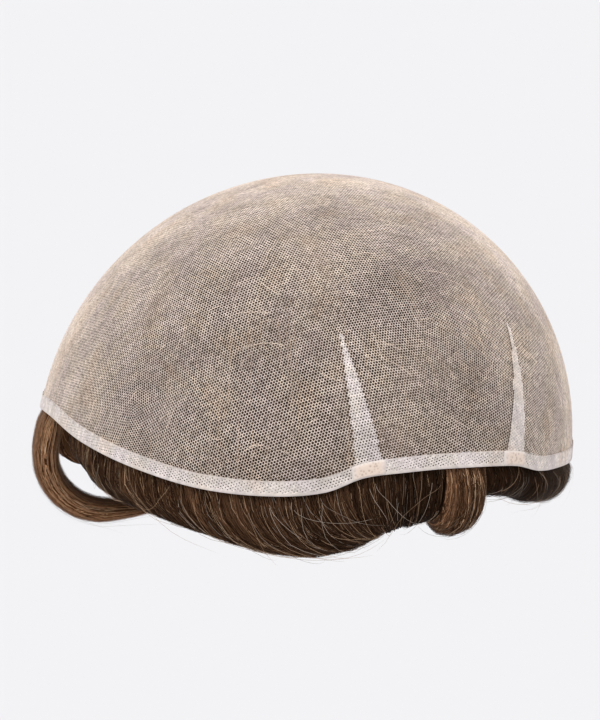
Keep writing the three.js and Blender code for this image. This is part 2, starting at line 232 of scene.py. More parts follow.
# The ellipsoid's own sizes and axes, and its middle under the crown seat
OWN_SIZES = np.array([HALF_WIDTH, HALF_LENGTH, HALF_HEIGHT])
LONG_AXIS = np.array([0, math.cos(math.radians(PITCH)), math.sin(math.radians(PITCH))])
SHORT_AXIS = np.array([0, -LONG_AXIS[2], LONG_AXIS[1]])
OWN_AXES = np.array([[1, 0, 0], LONG_AXIS, SHORT_AXIS])
BED_OUTSIDE = -(LACE_WALL + SEAM_GAP)
BED_INSIDE = BED_OUTSIDE - HAIR_BED
BED_MIDDLE = (BED_OUTSIDE + BED_INSIDE) / 2
CROWN_Z = math.hypot(HALF_LENGTH * LONG_AXIS[2], HALF_HEIGHT * LONG_AXIS[1])
CROWN_Y = (HALF_LENGTH ** 2 - HALF_HEIGHT ** 2) * LONG_AXIS[1] * LONG_AXIS[2] / CROWN_Z
MIDDLE = np.array([0, -CROWN_Y, -CROWN_Z - BED_INSIDE])


def unit(vectors):
    return vectors / np.linalg.norm(vectors, axis=-1, keepdims=True)


def smooth_curve(knots, values, x):
    """The smooth curve through values at knots, read at x."""
    slopes = np.gradient(values, knots, axis=0)
    step = (knots[2:] - knots[:-2]).reshape(-1, *[1] * (values.ndim - 1))
    slopes[1:-1] = (values[2:] - values[:-2]) / step
    k = np.clip(np.searchsorted(knots, x, side="right") - 1, 0, len(knots) - 2)
    shape = (*np.shape(x), *[1] * (values.ndim - 1))
    span = (knots[k + 1] - knots[k]).reshape(shape)
    t = (x - knots[k]).reshape(shape) / span
    return (
        (2 * t**3 - 3 * t**2 + 1) * values[k]
        + (t**3 - 2 * t**2 + t) * span * slopes[k]
        + (3 * t**2 - 2 * t**3) * values[k + 1]
        + (t**3 - t**2) * span * slopes[k + 1]
    )


def rim_rise(azimuth):
    """Height of the rim over the dome's middle, a smooth periodic curve through RIM."""
    table = np.array([RIM[-1], *RIM, RIM[0], RIM[1]], float)
    table[0, 0] -= 360
    table[-2:, 0] += 360
    turned_azimuth = (np.asarray(azimuth, float) + 180) % 360 - 180
    return smooth_curve(table[:, 0], table[:, 1], turned_azimuth) * HALF_HEIGHT


def rim_polar(azimuth):
    """The polar angle, down from the vertical, at which the dome ends."""
    z = rim_rise(azimuth)
    side = np.sin(np.radians(azimuth)) / HALF_WIDTH
    along = np.cos(np.radians(azimuth))
    long_slope = along * LONG_AXIS[1] / HALF_LENGTH
    long_start = z * LONG_AXIS[2] / HALF_LENGTH
    short_slope = along * SHORT_AXIS[1] / HALF_HEIGHT
    short_start = z * SHORT_AXIS[2] / HALF_HEIGHT
    square = side**2 + long_slope**2 + short_slope**2
    linear = long_slope * long_start + short_slope * short_start
    constant = long_start**2 + short_start**2 - 1
    radius = (-linear + np.sqrt(linear**2 - square * constant)) / square
    return np.degrees(np.arctan2(radius, z))


def on_dome(directions, offset=0.0):
    """Points where directions from the middle meet the lace's outer face, moved out by offset,
    and the face's normals there."""
    own = directions @ OWN_AXES.T / OWN_SIZES
    radius = 1 / np.linalg.norm(own, axis=-1, keepdims=True)
    normals = unit((own / OWN_SIZES) @ OWN_AXES)
    offset = np.asarray(offset, float)
    return directions * radius + MIDDLE + normals * offset[..., None], normals


def directions_at(azimuth, polar):
    """Directions from the dome's middle."""
    azimuth, polar = np.broadcast_arrays(np.radians(azimuth), np.radians(polar))
    return np.stack(
        [np.sin(polar) * np.sin(azimuth), np.sin(polar) * np.cos(azimuth), np.cos(polar)], axis=-1
    )


def dome_point(azimuth, polar, offset=0.0):
    return on_dome(directions_at(azimuth, polar), offset)[0]


def polar_span(length, azimuth, polar):
    """Degrees of polar angle that span a length down the dome."""
    step = dome_point(azimuth, polar) - dome_point(azimuth, polar - 1)
    return length / np.linalg.norm(step, axis=-1)


def azimuth_span(length, azimuth, polar):
    """Degrees of azimuth that span a length across the dome."""
    step = dome_point(azimuth, polar) - dome_point(azimuth + 1, polar)
    return length / np.linalg.norm(step, axis=-1)


def angles_of(directions):
    """Azimuth and polar angle of directions from the dome's middle."""
    azimuth = np.degrees(np.arctan2(directions[..., 0], directions[..., 1]))
    polar = np.degrees(np.arccos(np.clip(directions[..., 2], -1, 1)))
    return azimuth, polar


def path_length(points):
    return np.linalg.norm(np.diff(points, axis=0), axis=1).sum()


def height_over_rim(directions):
    """How far up the dome each direction meets it, from the rim, in metres."""
    azimuth, polar = angles_of(directions)
    end = rim_polar(azimuth)
    return (end - polar) / polar_span(1.0, azimuth, end)


def camera_axes():
    """The camera's right, up and backward directions."""
    azimuth, elevation = math.radians(VIEW_AZIMUTH), math.radians(VIEW_ELEVATION)
    flat = math.cos(elevation)
    back = np.array([math.sin(azimuth) * flat, -math.cos(azimuth) * flat, math.sin(elevation)])
    right = np.array([math.cos(azimuth), math.sin(azimuth), 0])
    return right, np.cross(back, right), back


def whorl_axis():
    """The direction of the whorl that the hair under the lace curls round, on the back."""
    right, up, back = camera_axes()
    return unit(back + WHORL_RIGHT * right - WHORL_DOWN * up)


def hair_flow(points):
    """Coordinates for streaks of hair under the lace, which waver round the whorl: across the
    streaks first, then twice along them."""
    axis = whorl_axis()
    first = unit(np.cross([0, 0, 1], axis))
    second = np.cross(axis, first)
    from_middle = points - MIDDLE
    angle = np.arccos(np.clip(unit(from_middle) @ axis, -1, 1))
    angle = angle + 0.03 * np.sin(from_middle[..., 0] * 110) * np.cos(from_middle[..., 2] * 90 + 1)
    return np.stack([angle * HALF_HEIGHT, from_middle @ first, from_middle @ second], axis=-1)


def bed_flow(points):
    """Coordinates for streaks on the bed, which run down from the crown with a slight twist: twice
    across the streaks first, then along them."""
    azimuth, polar = angles_of(unit(points - MIDDLE))
    turned = np.radians(azimuth + 50 * np.sin(np.radians(polar)) + 6 * np.sin(np.radians(3 * polar)))
    place = [np.cos(turned), np.sin(turned), np.radians(polar)]
    return np.stack(place, axis=-1) * HALF_HEIGHT


# Mesh helpers

def make_object(name, points, faces, material, uv=None, tone=None, flow=None):
    """A smooth mesh object from arrays. faces is an array of quads or triangles. uv is a point's
    place on the colour map, tone its own shade, and flow its coordinates for streaks."""
    faces = np.asarray(faces)
    sides = faces.shape[1]
    mesh = bpy.data.meshes.new(name)
    mesh.vertices.add(len(points))
    mesh.vertices.foreach_set("co", np.ascontiguousarray(points, np.float32).ravel())
    mesh.loops.add(faces.size)
    mesh.loops.foreach_set("vertex_index", np.ascontiguousarray(faces, np.int32).ravel())
    mesh.polygons.add(len(faces))
    mesh.polygons.foreach_set("loop_start", np.arange(0, faces.size, sides, dtype=np.int32))
    mesh.polygons.foreach_set("use_smooth", np.ones(len(faces), bool))
    if uv is not None:
        layer = mesh.uv_layers.new(name="OFBake")
        layer.uv.foreach_set("vector", np.ascontiguousarray(uv[faces.ravel()], np.float32).ravel())
    if tone is not None:
        colours = np.ones((len(points), 4), np.float32)
        colours[:, :3] = tone
        attribute = mesh.color_attributes.new("tone", "FLOAT_COLOR", "POINT")
        attribute.data.foreach_set("color", colours.ravel())
    if flow is not None:
        attribute = mesh.attributes.new("flow", "FLOAT_VECTOR", "POINT")
        attribute.data.foreach_set("vector", np.ascontiguousarray(flow, np.float32).ravel())
    mesh.update()
    mesh.validate()
    thing = bpy.data.objects.new(name, mesh)
    bpy.context.scene.collection.objects.link(thing)
    mesh.materials.append(material)
    return thing


def grid_faces(rows, columns, ring=False):
    """Quads of a grid of rows by columns points, closed along its columns if ring."""
    row, column = np.mgrid[0:rows - 1, 0:columns if ring else columns - 1]
    beside = (column + 1) % columns
    a = row * columns + column
    b = row * columns + beside
    c = (row + 1) * columns + beside
    d = (row + 1) * columns + column
    return np.stack([a, b, c, d], axis=-1).reshape(-1, 4)


def dome_uv(directions):
    """A flat, equal-area map of the dome, which ends 120 degrees from its top."""
    azimuth, polar = angles_of(directions)
    radius = 0.49 * np.sin(np.radians(polar) / 2) / math.sin(math.radians(60))
    flat = np.stack([np.sin(np.radians(azimuth)), np.cos(np.radians(azimuth))], axis=-1)
    return 0.5 + flat * radius[..., None]


# Materials

def node_material(name, roughness, specular):
    """A material with its shader, ready for nodes on its colour and bump."""
    material = bpy.data.materials.new(name)
    material.use_nodes = True
    tree = material.node_tree
    shader = tree.nodes["Principled BSDF"]
    shader.inputs["Roughness"].default_value = roughness
    shader.inputs["Specular IOR Level"].default_value = specular
    return material, tree, shader


def place_node(tree, name=None):
    """Coordinates for textures: a point's own attribute, or its place in the object."""
    if name is None:
        return tree.nodes.new("ShaderNodeTexCoord").outputs["Object"]
    attribute = tree.nodes.new("ShaderNodeAttribute")
    attribute.attribute_name = name
    return attribute.outputs["Vector"]


def noise_node(tree, place, scales, detail):
    """Noise with so many features a metre along each coordinate."""
    mapping = tree.nodes.new("ShaderNodeMapping")
    mapping.inputs["Scale"].default_value = scales
    noise = tree.nodes.new("ShaderNodeTexNoise")
    noise.inputs["Scale"].default_value = 1.0
    noise.inputs["Detail"].default_value = detail
    tree.links.new(place, mapping.inputs["Vector"])
    tree.links.new(mapping.outputs["Vector"], noise.inputs["Vector"])
    return noise.outputs["Fac"]


def ramp_node(tree, value, stops):
    """Colours along a value: stops is a list of (place, colour)."""
    ramp = tree.nodes.new("ShaderNodeValToRGB")
    elements = ramp.color_ramp.elements
    while len(elements) < len(stops):
        elements.new(0.5)
    for element, (place, colour) in zip(elements, stops, strict=True):
        element.position = place
        element.color = (*colour, 1)
    tree.links.new(value, ramp.inputs["Fac"])
    return ramp.outputs["Color"]


def mix_node(tree, factor, first, second, blend="MIX"):
    """Two colours mixed. Each value is a number, a colour or another node's output."""
    mix = tree.nodes.new("ShaderNodeMix")
    mix.data_type = "RGBA"
    mix.blend_type = blend
    for socket, value in (("Factor", factor), ("A", first), ("B", second)):
        target = next(s for s in mix.inputs if s.name == socket and s.enabled)
        if isinstance(value, (float, int)):
            target.default_value = value
        elif isinstance(value, tuple):
            target.default_value = (*value, 1)
        else:
            tree.links.new(value, target)
    return next(s for s in mix.outputs if s.enabled)


def multiplied(tree, colour, *others):
    for other in others:
        colour = mix_node(tree, 1.0, colour, other, "MULTIPLY")
    return colour


def bump_from(tree, shader, height, distance, strength=1.0):
    """Relief from a height between 0 and 1 that stands for a distance in metres."""
    bump = tree.nodes.new("ShaderNodeBump")
    bump.inputs["Distance"].default_value = distance
    bump.inputs["Strength"].default_value = strength
    tree.links.new(height, bump.inputs["Height"])
    tree.links.new(bump.outputs["Normal"], shader.inputs["Normal"])


def lace_material(name, light, dark):
    """Thread: pale, in patches that lean to lilac, yellow and brown and streaks that follow the
    hair under it, times a shade at every point, which on the net is a painted glint at the threads'
    tops and painted shade at their edges."""
    material, tree, shader = node_material(name, 0.75, 0.12)
    flow = place_node(tree, "flow")
    patches = noise_node(tree, flow, (75, 45, 45), 3)
    hues = noise_node(tree, place_node(tree), (95, 95, 95), 2)
    streaks = noise_node(tree, flow, (800, 160, 160), 2)
    base = ramp_node(tree, patches, [(0.36, dark), (0.6, light)])
    tint = ramp_node(
        tree, hues, [(0.34, (0.985, 0.972, 1)), (0.46, (1, 0.985, 0.985)), (0.56, (1, 0.99, 0.96)),
                     (0.68, (1, 0.95, 0.895))]
    )
    low = 1 - STREAK_CONTRAST
    streak = ramp_node(tree, streaks, [(0.3, (low, low, low)), (0.66, (1, 1, 1))])
    colour = multiplied(tree, base, tint, streak, place_node(tree, "tone"))
    tree.links.new(colour, shader.inputs["Base Color"])
    return material


def bed_material():
    """Hair under the lace: dark to mid brown in patches, with light streaks, darker inside."""
    material, tree, shader = node_material("bed_hair", 0.6, 0.1)
    flow = place_node(tree, "flow")
    patches = noise_node(tree, flow, (45, 45, 30), 3)
    base = ramp_node(
        tree, patches,
        [(0.34, (0.028, 0.016, 0.01)), (0.46, (0.055, 0.034, 0.022)), (0.56, (0.08, 0.06, 0.044)),
         (0.7, (0.17, 0.115, 0.078))],
    )
    fine = noise_node(tree, flow, (1500, 1500, 45), 3)
    shade = ramp_node(tree, fine, [(0.3, (0.45, 0.45, 0.45)), (0.7, (1.6, 1.5, 1.4))])
    few = noise_node(tree, flow, (1900, 1900, 30), 2)
    pale = ramp_node(tree, few, [(0.6, (0, 0, 0)), (0.7, (1, 1, 1))])
    colour = mix_node(tree, pale, multiplied(tree, base, shade), (0.25, 0.16, 0.1))
    colour = multiplied(tree, colour, place_node(tree, "tone"))
    tree.links.new(colour, shader.inputs["Base Color"])
    bump_from(tree, shader, fine, 0.0005)
    return material


def strand_material():
    """Hair that takes each point's shade, which on the locks holds their painted light and shade, streaked
    along its flow.
    """
    material, tree, shader = node_material("strand_hair", 0.5, 0.012)
    streaks = noise_node(tree, place_node(tree, "flow"), (3200, 60, 60), 3)
    shade = ramp_node(tree, streaks, [(0.34, (0.4, 0.38, 0.37)), (0.66, (1.6, 1.5, 1.4))])
    colour = multiplied(tree, place_node(tree, "tone"), shade)
    tree.links.new(colour, shader.inputs["Base Color"])
    bump_from(tree, shader, streaks, 0.0004)
    return material


def patch_material():
    """The skin-toned patch: sheer cloth with the net's print in it, paler towards its edges."""
    material, tree, shader = node_material("skin_patch", 0.6, 0.35)
    shader.inputs["Sheen Weight"].default_value = 0.2
    shader.inputs["Sheen Roughness"].default_value = 0.4
    print_ = tree.nodes.new("ShaderNodeTexVoronoi")
    print_.inputs["Scale"].default_value = 1 / MESH_PITCH
    tree.links.new(place_node(tree), print_.inputs["Vector"])
    colour = ramp_node(
        tree, print_.outputs["Distance"], [(0.12, (0.45, 0.35, 0.29)), (0.5, (0.7, 0.57, 0.485))]
    )
    colour = mix_node(tree, place_node(tree, "tone"), PATCH_EDGE, colour)
    tree.links.new(colour, shader.inputs["Base Color"])
    bump_from(tree, shader, print_.outputs["Distance"], 0.0002, 0.6)
    return material


# The net

def icosahedron():
    """Corners and faces of an icosahedron. Before they are made unit, its edges are 2 long."""
    golden = (1 + 5**0.5) / 2
    corners = np.array(
        [np.roll((0, a, b * golden), k) for k in range(3) for a in (-1, 1) for b in (-1, 1)]
    )
    beside = np.linalg.norm(corners[:, None] - corners, axis=-1) < 2.01
    faces = [
        face for face in itertools.combinations(range(12), 3)
        if all(beside[a, b] for a, b in itertools.combinations(face, 2))
    ]
    return unit(corners), faces


def geodesic(frequency, corners, faces):
    """Points spread evenly over a unit sphere, and the triangles between them: each face of an
    icosahedron is cut into frequency squared triangles."""
    reach = math.acos(corners[faces[0][0]] @ corners[faces[0][1]])
    i, j = np.array([(i, j) for i in range(frequency + 1) for j in range(frequency + 1 - i)]).T
    weights = np.sin(np.stack([i, j, frequency - i - j], axis=1) / frequency * reach)
    number = np.full((frequency + 2, frequency + 2), -1)
    number[i, j] = np.arange(len(i))
    a, b, c, d = number[i, j], number[i + 1, j], number[i, j + 1], number[i + 1, j + 1]
    upright = (b >= 0) & (c >= 0)
    inverted = upright & (d >= 0)
    small = np.concatenate(
        [np.stack([a, b, c], axis=1)[upright], np.stack([b, d, c], axis=1)[inverted]]
    )
    points = np.concatenate([unit(weights @ corners[list(face)]) for face in faces])
    triangles = np.concatenate([small + k * len(i) for k in range(len(faces))])
    _, first, same = np.unique(np.round(points, 6), axis=0, return_index=True, return_inverse=True)
    return points[first], same.ravel()[triangles]


def facing_camera(sphere, faces, corners):
    """The sphere turned so that one of its even faces looks at the camera, its rows on a slope."""
    right, up, back = camera_axes()
    slope = math.radians(ROW_SLOPE)
    own = OWN_AXES / OWN_SIZES[:, None]
    to_back = unit(own @ back)
    row = own @ (math.cos(slope) * right + math.sin(slope) * up)
    row = unit(row - (row @ to_back) * to_back)
    a, b, c = corners[list(faces[0])]
    normal = unit(a + b + c)
    edge = unit(b - a)
    there = np.array([edge, np.cross(normal, edge), normal])
    here = np.array([row, np.cross(to_back, row), to_back])
    return sphere @ there.T @ here


def net_lattice():
    """Directions of the holes, even over the ellipsoid but for a slight wander, and the triangles
    between them."""
    power = 1.6
    sections = [(a * b) ** power for a, b in itertools.combinations(OWN_SIZES, 2)]
    whole_area = 4 * math.pi * (sum(sections) / 3) ** (1 / power)
    frequency = round(math.sqrt(whole_area / (MESH_PITCH**2 * math.sqrt(3) / 2) / 10))
    corners, faces = icosahedron()
    sphere, triangles = geodesic(frequency, corners, faces)
    own = facing_camera(sphere, faces, corners) * OWN_SIZES
    cells = unit(own @ OWN_AXES)
    wander = 0.0022 * np.sin(cells[:, [1, 2, 0]] * 13 + np.array([0.4, 2.1, 4.0]))
    return unit(cells + wander + rng.normal(0, 0.0004, cells.shape)), triangles


def kept_above_rim(directions):
    """Moves what reaches below the rim up to it."""
    azimuth, polar = angles_of(directions)
    return directions_at(azimuth, np.minimum(polar, rim_polar(azimuth)))


class Net:
    """A net of hexagonal holes over the whole head form, from which pieces are taken. Its cells are
    the holes' directions, each with its area, height over the rim, hole share and the painted shade
    on its threads' edges; its joints are where three threads meet, each with its painted glint."""

    def __init__(self):
        self.cells, self.triangles = net_lattice()
        points = on_dome(self.cells)[0]
        a, b, c = (points[self.triangles[:, k]] for k in range(3))
        share = np.linalg.norm(np.cross(b - a, c - a), axis=1) / 6
        self.area = np.bincount(self.triangles.ravel(), np.repeat(share, 3))
        self.joints = unit(self.cells[self.triangles].mean(axis=1))
        self.height = height_over_rim(self.cells)
        self.hole = HOLE_SHARE + HOLE_SPREAD * rng.uniform(-1, 1, len(self.cells))
        # Painted shade on the threads' edges, darker than their tops and varying at random from cell to
        # cell, and a painted glint at random on the threads' tops where they meet
        self.shade = 0.25 + 0.65 * rng.beta(1.5, 1.2, len(self.cells))
        self.glint = rng.uniform(*GLINT, len(self.triangles))
        self.halves = self.thread_halves()

    def thread_halves(self):
        """Both halves of each thread, one beside each hole: the hole, then its two ends as
        triangle and corner, twice."""
        count = len(self.triangles)
        slots = np.repeat([[0, 1], [1, 2], [2, 0]], count, axis=0)
        owner = np.tile(np.arange(count), 3)
        ends = self.triangles[owner[:, None], slots]
        order = np.lexsort((ends.max(axis=1), ends.min(axis=1)))
        first, second = order[0::2], order[1::2]
        halves = []
        for hole in (ends[first].min(axis=1), ends[first].max(axis=1)):
            row = [hole]
            for side in (first, second):
                slot = np.where(ends[side, 0] == hole, slots[side, 0], slots[side, 1])
                row += [owner[side], slot]
            halves.append(np.stack(row, axis=1))
        return np.concatenate(halves)

    def piece(self, name, wanted, hole, shade, ridge, material):
        """An object of the wanted cells, with each cell's hole share and the painted shade on its threads'
        edges. ridge is the height of the threads' tops over the lace's outer face, and their edges lie a
        thread lower."""
        halves = self.halves[wanted[self.halves[:, 0]]]
        _, one, one_slot, two, two_slot = halves.T
        keys = np.concatenate([one * 3 + one_slot, two * 3 + two_slot])
        corners, corner_index = np.unique(keys, return_inverse=True)
        tops, top_index = np.unique(np.concatenate([one, two]), return_inverse=True)
        half = len(halves)
        cell = self.triangles.ravel()[corners]
        middle, joint = self.cells[cell], self.joints[corners // 3]
        edges = unit(middle + (joint - middle) * hole[cell][:, None])
        directions = kept_above_rim(np.concatenate([self.joints[tops], edges]))
        lift = np.repeat([ridge, ridge - THREAD], [len(tops), len(edges)])
        points, normals = on_dome(directions, lift)
        faces = np.stack(
            [top_index[:half], top_index[half:], corner_index[half:] + len(tops),
             corner_index[:half] + len(tops)], axis=1
        )
        a, b, c = (points[faces[:, k]] for k in range(3))
        inward = np.einsum("ij,ij->i", np.cross(b - a, c - a), normals[faces[:, 0]]) < 0
        faces[inward] = faces[inward][:, ::-1]
        # The tone: a painted glint at the threads' tops, and painted shade at their edges
        tone = np.concatenate([self.glint[tops], shade[cell]])[:, None]
        return make_object(name, points, faces, material, uv=dome_uv(directions), tone=tone,
                           flow=hair_flow(points))


def in_dart(directions, side):
    """Which directions meet a dart. side is 1 on the wearer's left and -1 on the right. A cell
    reaches past its middle, so its middle has to lie a little inside the dart."""
    azimuth, polar = angles_of(directions)
    up = height_over_rim(directions) - HEM_WIDTH
    height = up / DART_LENGTH
    centre = side * (DART_AZIMUTH + (DART_TOP_AZIMUTH - DART_AZIMUTH) * height)
    width = DART_FOOT_WIDTH + (DART_TOP_WIDTH - DART_FOOT_WIDTH) * height
    across = (azimuth - centre) / azimuth_span(1.0, azimuth, polar)
    return (up > 0) & (height < 1) & (np.abs(across) < width / 2 - MESH_PITCH / 4)


def make_lace(net):
    """The lace in sectors, and the denser pieces sewn on it."""
    thread = lace_material("lace_thread", (0.875, 0.75, 0.655), (0.69, 0.585, 0.52))
    folded = lace_material("folded_lace", (0.81, 0.735, 0.7), (0.68, 0.62, 0.59))
    azimuth = angles_of(net.cells)[0]
    on_lace = net.height > LACE_START * HEM_WIDTH
    sector = 360 / LACE_PIECES
    sectors = []
    for k in range(LACE_PIECES):
        start = k * sector
        wanted = on_lace & ((azimuth - start) % 360 < sector)
        piece = net.piece(f"lace_{k + 1}", wanted, net.hole, net.shade, 0.0, thread)
        middle = start + sector / 2
        arc = np.arange(start, start + sector + 1, 2)
        width = path_length(dome_point(arc, rim_polar(arc)))
        length = path_length(dome_point(middle, np.linspace(0, rim_polar(middle), 60)))
        sectors.append((piece, (float(width), float(length)), float(net.area[wanted].sum())))
    waves = np.sin(net.cells @ SEWN_WAVES)
    uneven = SEWN_HOLE_SPREAD * (rng.uniform(-1, 1, len(net.cells)) + waves)
    # The sewn net's painted shade on its threads' edges, lighter than on the lace
    shade = 0.7 + 0.3 * net.shade
    on_hem = (net.height > 0.25 * MESH_PITCH) & (net.height < HEM_WIDTH)
    hem = net.piece("hem_net", on_hem, HEM_HOLE_SHARE + uneven, shade, HEM_LIFT, folded)
    darts = {}
    for name, side in (("left", 1), ("right", -1)):
        on_dart = in_dart(net.cells, side)
        darts[name] = net.piece(
            f"dart_net_{name}", on_dart, DART_HOLE_SHARE + uneven, shade, HEM_LIFT, folded
        )
    return sectors, hem, darts


def make_ring(name, profile, material):
    """A band all round the rim. profile is its section, a list of (height over the rim, offset)."""
    columns = 240
    azimuth = np.linspace(0, 360, columns, endpoint=False)
    end = rim_polar(azimuth)
    rows = [
        dome_point(azimuth, end - polar_span(height, azimuth, end), offset) for height, offset in profile
    ]
    points = np.concatenate(rows)
    return make_object(name, points, grid_faces(len(rows), columns, ring=True)[:, ::-1], material,
                       tone=np.full((len(points), 1), EDGE_TONE), flow=hair_flow(points))


def make_hem_edges(material):
    """The turned edge of the hem, from the lace round to its outside, and the wall under its upper
    edge."""
    reach = (HEM_LIFT + THREAD) / 2
    angles = np.radians(np.linspace(-90, 90, 7))
    turned = [(-0.8 * reach * math.cos(a), HEM_LIFT - reach + reach * math.sin(a)) for a in angles]
    turned += [(0.0005, HEM_LIFT + 0.00003), (0.0008, HEM_LIFT - 0.0001)]
    upper = [
        (HEM_WIDTH - 0.0004, HEM_LIFT - 0.00015), (HEM_WIDTH - 0.0001, HEM_LIFT - 0.0002),
        (HEM_WIDTH, -0.0002),
    ]
    return [make_ring("hem_fold", turned, material), make_ring("hem_upper_edge", upper, material)]


def make_patch(name, side, material):
    """The skin-toned piece over the hem at the foot of a dart: a thin pad with round edges, a
    little taller than the hem. Its tone dies away towards its edges."""
    columns, rows = 25, 15
    centre = side * DART_AZIMUTH
    v, u = np.mgrid[0:1:rows * 1j, 0:1:columns * 1j]
    azimuth = centre + azimuth_span(PATCH_WIDTH * (u - 0.5), centre, rim_polar(centre))
    end = rim_polar(azimuth)
    polar = end - polar_span(HEM_WIDTH, azimuth, end) * (1.02 * v - 0.01)
    rise = np.sqrt(np.prod([np.clip(1 - np.abs(2 * w - 1) ** 6, 0, 1) for w in (u, v)], axis=0))
    offset = HEM_LIFT + (SEAM_GAP + PATCH_WALL / 2) * rise
    points = dome_point(azimuth, polar, offset).reshape(-1, 3)
    return make_object(name, points, grid_faces(rows, columns)[:, ::-1], material,
                       tone=rise.reshape(-1, 1) ** 3)


# Hair

def lock_path(lock):
    """A lock's centre line: its points, its sideways and outward directions there, half its width
    and half its depth there, and its lean."""
    azimuth, width, depth, lean, flare, straight, radius, turn, heading, tail = lock
    rim = rim_polar(azimuth)
    start = dome_point(azimuth, rim, BED_MIDDLE)
    out = start - dome_point(azimuth, rim, 2 * BED_INSIDE)
    out[2] = 0
    out = unit(out)
    up = np.array([0.0, 0, 1])
    sideways = np.cross(up, out)
    lean, flare, heading, turn = np.radians([lean, flare, heading, turn])
    down = (-math.cos(lean) * up + math.sin(lean) * sideways) * math.cos(flare) + math.sin(flare) * out
    goal = sideways * math.sin(heading) - out * math.cos(heading)
    across = unit(goal - (goal @ down) * down)
    straight, radius, tail = straight * HAIR_FALL, radius * HAIR_FALL, tail * HAIR_FALL
    arc = radius * turn
    whole = straight + arc + tail
    below = np.concatenate([[-ROOT_RISE, -ROOT_RISE / 2], np.linspace(0, whole, LOCK_STATIONS)])
    angle = np.clip((below - straight) / radius, 0, turn)
    on_tail = np.clip(below - straight - arc, 0, None)
    along = np.cos(angle)[:, None] * down + np.sin(angle)[:, None] * across
    points = (
        start
        + np.minimum(np.maximum(below, 0), straight)[:, None] * down
        + radius * (np.sin(angle)[:, None] * down + (1 - np.cos(angle))[:, None] * across)
        + on_tail[:, None] * along
    )
    rise = np.clip(-below, 0, None)
    root_azimuth = azimuth + azimuth_span(rise * math.sin(lean), azimuth, rim)
    root_polar = rim_polar(root_azimuth) - polar_span(rise * math.cos(lean), azimuth, rim)
    rooted = below < 0
    points[rooted] = dome_point(root_azimuth, root_polar, BED_MIDDLE)[rooted]
    swell = np.clip(below / SWELL_LENGTH, 0, 1)
    swell = swell * swell * (3 - 2 * swell)
    taper = 1 + (TIP_SHARE - 1) * np.clip(below / whole, 0, 1) ** 2
    wide_half = width * LOCK_WIDTH / 2 * taper
    root_depth = HAIR_BED * ROOT_DEPTH_SHARE
    deep_half = (root_depth + (depth * LOCK_DEPTH - root_depth) * swell) / 2 * taper
    faces = np.empty_like(points)
    face = out
    for k, direction in enumerate(along):
        face = unit(face - (face @ direction) * direction)
        faces[k] = face
    wide = np.cross(along, faces)
    return {
        "points": points, "wide": wide, "face": faces, "wide_half": wide_half,
        "deep_half": deep_half, "lean": lean,
    }


class Flow:
    """A group of locks that flows as one sheet of hair: smooth between its locks, thick where they
    are, and round at both ends. Columns run down it and stations along each column."""

    def __init__(self, name, paths, before, after, drift, drift_end, gather, light, last_painted_light, density):
        self.name, self.density = name, density
        last = len(paths) - 1
        knots = np.array([-before, *range(last + 1), last + after])
        count = round((last + before + after) * COLUMNS_PER_LOCK) + 1
        place = np.linspace(knots[0], knots[-1], count)
        along = np.clip(np.arange(LOCK_STATIONS + 2) - 2, 0, None) / (LOCK_STATIONS - 1)
        near = [paths[0], *paths, paths[last]]
        sideways = [2 * before, *[0] * (last + 1), -2 * after]
        middle = []
        for k, (path, side) in enumerate(zip(near, sideways, strict=True)):
            # The first lock and the group's edge beside it keep their places
            reach = LEAN_REACH if k > 1 else 0
            low = reach * math.sin(path["lean"]) * np.clip(along / 0.35, 0, 1)
            shift = (side + low) * path["wide_half"]
            middle.append(path["points"] + path["wide"] * shift[:, None])
        phase = np.clip((place - knots[0]) / (drift_end - knots[0]), 0, 1)
        push = drift * np.sin(math.pi * phase) ** 2
        centre = (knots[0] + knots[-1]) / 2
        where = place[:, None] + push[:, None] * along**1.5
        where = np.minimum(centre + (where - centre) * (1 - gather * along**2), knots[-1])
        station = np.arange(LOCK_STATIONS + 2)

        def spread(values):
            whole = smooth_curve(knots, np.stack(values), where)
            return whole[:, station, station]

        self.points = spread(middle)
        self.face = unit(spread([path["face"] for path in near]))
        past = np.maximum(-place / before, (place - last) / after)
        roundness = np.sqrt(1 - np.clip(past, 0, 1) ** 2)
        grooves = sum(
            size * np.sin(2 * math.pi * rate * place[:, None] + turn + 2 * along)
            for size, rate, turn in ((0.5, 1.3, 0.4), (0.35, 2.3, 2.0), (0.25, 3.7, 5.1))
        )
        self.deep = spread([path["deep_half"] for path in near]) * roundness[:, None]
        self.deep *= 1 + 0.16 * grooves * along**0.5
        self.columns, self.stations = self.deep.shape
        # Painted light and shade along the group: a multiplier on its hair's colour, from its first to its
        # last lock
        self.light = np.linspace(light, last_painted_light, self.columns)

    def at(self, column, station, depth):
        """Points at shares of the depth, from -1 inside to 1 outside, between the columns and the
        stations."""
        column = np.clip(column, 0, self.columns - 1.001)
        station = np.clip(station, 0, self.stations - 1.001)
        c, s = column.astype(int), station.astype(int)
        u, v = (column - c)[..., None], (station - s)[..., None]

        def blend(values):
            return (
                (values[c, s] * (1 - u) + values[c + 1, s] * u) * (1 - v)
                + (values[c, s + 1] * (1 - u) + values[c + 1, s + 1] * u) * v
            )

        return blend(self.points) + blend(self.face) * blend(self.deep[..., None]) * depth[..., None]


def make_flows():
    """The groups of locks in LOCK_GROUPS."""
    paths = [lock_path(lock) for lock in LOCKS]
    return [Flow(name, paths[first:end], *rest) for name, first, end, *rest in LOCK_GROUPS]


